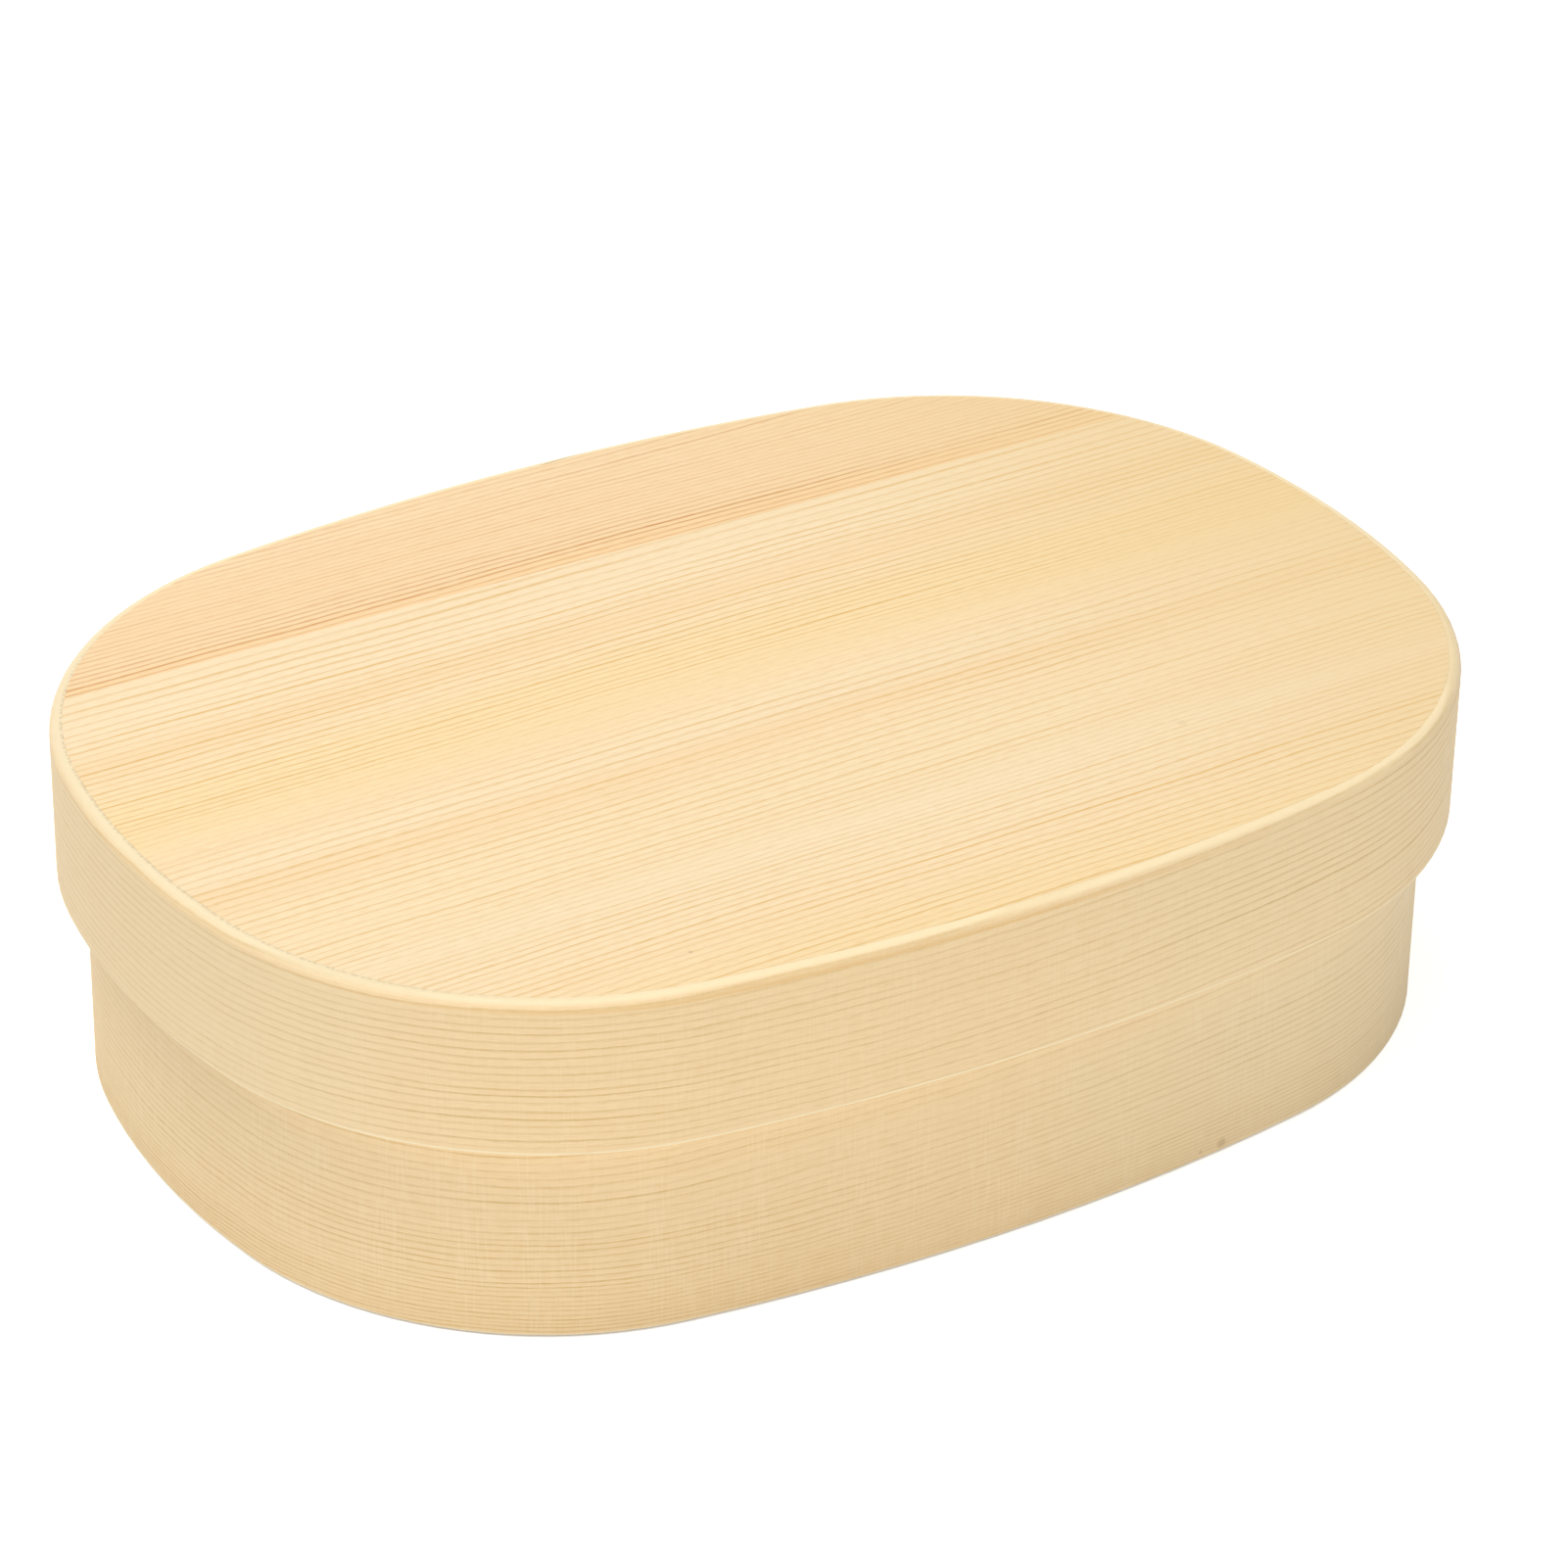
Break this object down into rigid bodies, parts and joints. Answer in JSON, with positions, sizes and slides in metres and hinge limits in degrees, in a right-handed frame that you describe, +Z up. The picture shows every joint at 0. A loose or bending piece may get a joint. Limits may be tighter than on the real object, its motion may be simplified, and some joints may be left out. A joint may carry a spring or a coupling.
{
  "type": "bento box",
  "caption": "Bentwood lunch box: a hoop of bent board, lapped and laced with bark, round a glued-in bottom, under a covering lid that lifts straight off.",
  "frame": {"origin": "on the table, under the middle of the box", "axes": "+X along the length, +Y towards the laced back, +Z up"},
  "size_m": [0.22, 0.1602, 0.06],
  "materials": {
    "pale_wood": "satin clear coat over straight-grained softwood",
    "pink_wood": "satin clear coat over pinkish heartwood",
    "bark": "polished bark"
  },
  "bodies": {
    "body": {"body_band": "pale_wood", "bottom_front_board": "pale_wood", "bottom_rear_board": "pink_wood", "body_lacing": "bark"},
    "lid": {"lid_band": "pale_wood", "lid_front_board": "pale_wood", "lid_rear_board": "pink_wood", "lid_lacing": "bark"}
  },
  "joints": [
    {"name": "lid_lift", "type": "slide", "parent": "body", "child": "lid", "axis": [0, 0, 1], "range_m": [0, 0.12]}
  ]
}
